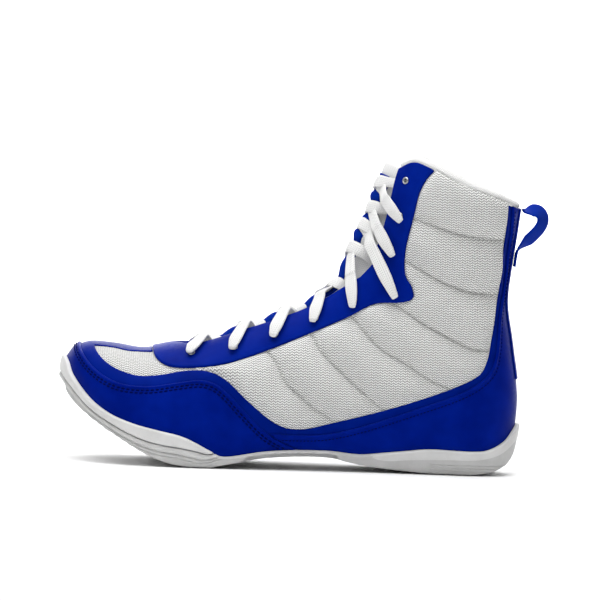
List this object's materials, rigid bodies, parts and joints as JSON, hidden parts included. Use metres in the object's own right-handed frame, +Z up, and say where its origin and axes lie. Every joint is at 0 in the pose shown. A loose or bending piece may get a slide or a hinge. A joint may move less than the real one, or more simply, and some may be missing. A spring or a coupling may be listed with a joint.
{
  "type": "boxing boot",
  "caption": "High-top left boxing boot: quilted mesh upper with synthetic overlays, laced throat, padded tongue, heel pull loop and thin cupped rubber sole.",
  "frame": {"origin": "on the ground, under the middle of the boot's bounding box", "axes": "+X from the toe towards the heel (longest extent), -Y towards the outer (lateral) side of this left boot, +Z up"},
  "size_m": [0.301, 0.1056, 0.1981],
  "materials": {
    "mesh_white": "quilted knit mesh",
    "lining_white": "fine mesh",
    "binding_white": "soft knit",
    "tongue_white": "soft knit",
    "lace_white": "flat braid",
    "synthetic_blue": "fine grain, satin",
    "textile_blue": "ribbed webbing",
    "rubber_white": "matte moulded",
    "board": "pressed pulp board",
    "footbed": "fabric on foam",
    "stiffener": "thermoplastic sheet",
    "eyelet_metal": "satin",
    "aglet_clear": "crimped film"
  },
  "bodies": {
    "boot": {"outsole": "rubber_white", "toe_foxing": "rubber_white", "heel_foxing": "rubber_white", "insole_board": "board", "footbed": "footbed", "lining": "lining_white", "toe_puff": "stiffener", "heel_counter": "stiffener", "vamp_mesh": "mesh_white", "quarter_lateral": "mesh_white", "quarter_medial": "mesh_white", "mudguard_underlay": "synthetic_blue", "heel_underlay": "synthetic_blue", "mudguard": "synthetic_blue", "heel_overlay": "synthetic_blue", "backstay": "synthetic_blue", "eyestay_lateral": "synthetic_blue", "eyestay_medial": "synthetic_blue", "collar_binding": "binding_white", "eyelet_lateral_1": "eyelet_metal", "eyelet_lateral_2": "eyelet_metal", "eyelet_lateral_3": "eyelet_metal", "eyelet_lateral_4": "eyelet_metal", "eyelet_lateral_5": "eyelet_metal", "eyelet_lateral_6": "eyelet_metal", "eyelet_lateral_7": "eyelet_metal", "eyelet_lateral_8": "eyelet_metal", "eyelet_lateral_9": "eyelet_metal", "eyelet_medial_1": "eyelet_metal", "eyelet_medial_2": "eyelet_metal", "eyelet_medial_3": "eyelet_metal", "eyelet_medial_4": "eyelet_metal", "eyelet_medial_5": "eyelet_metal", "eyelet_medial_6": "eyelet_metal", "eyelet_medial_7": "eyelet_metal", "eyelet_medial_8": "eyelet_metal", "eyelet_medial_9": "eyelet_metal", "pull_loop_upper_end": "textile_blue", "pull_loop_lower_end": "textile_blue", "lace": "lace_white", "aglet_lateral": "aglet_clear", "aglet_medial": "aglet_clear"},
    "tongue": {"tongue": "tongue_white", "tongue_panel": "textile_blue"},
    "pull_loop": {"pull_loop": "textile_blue"}
  },
  "joints": [
    {"name": "tongue_hinge", "type": "hinge", "parent": "boot", "child": "tongue", "pos_m": [-0.0705, 0, 0.0635], "axis": [0, 1, 0], "range_deg": [0, 12]},
    {"name": "pull_loop_swing", "type": "hinge", "parent": "boot", "child": "pull_loop", "pos_m": [0.1362, 0, 0.1555], "axis": [0, 0, 1], "range_deg": [-15, 15], "stiffness_Nm_per_rad": 0.03}
  ]
}
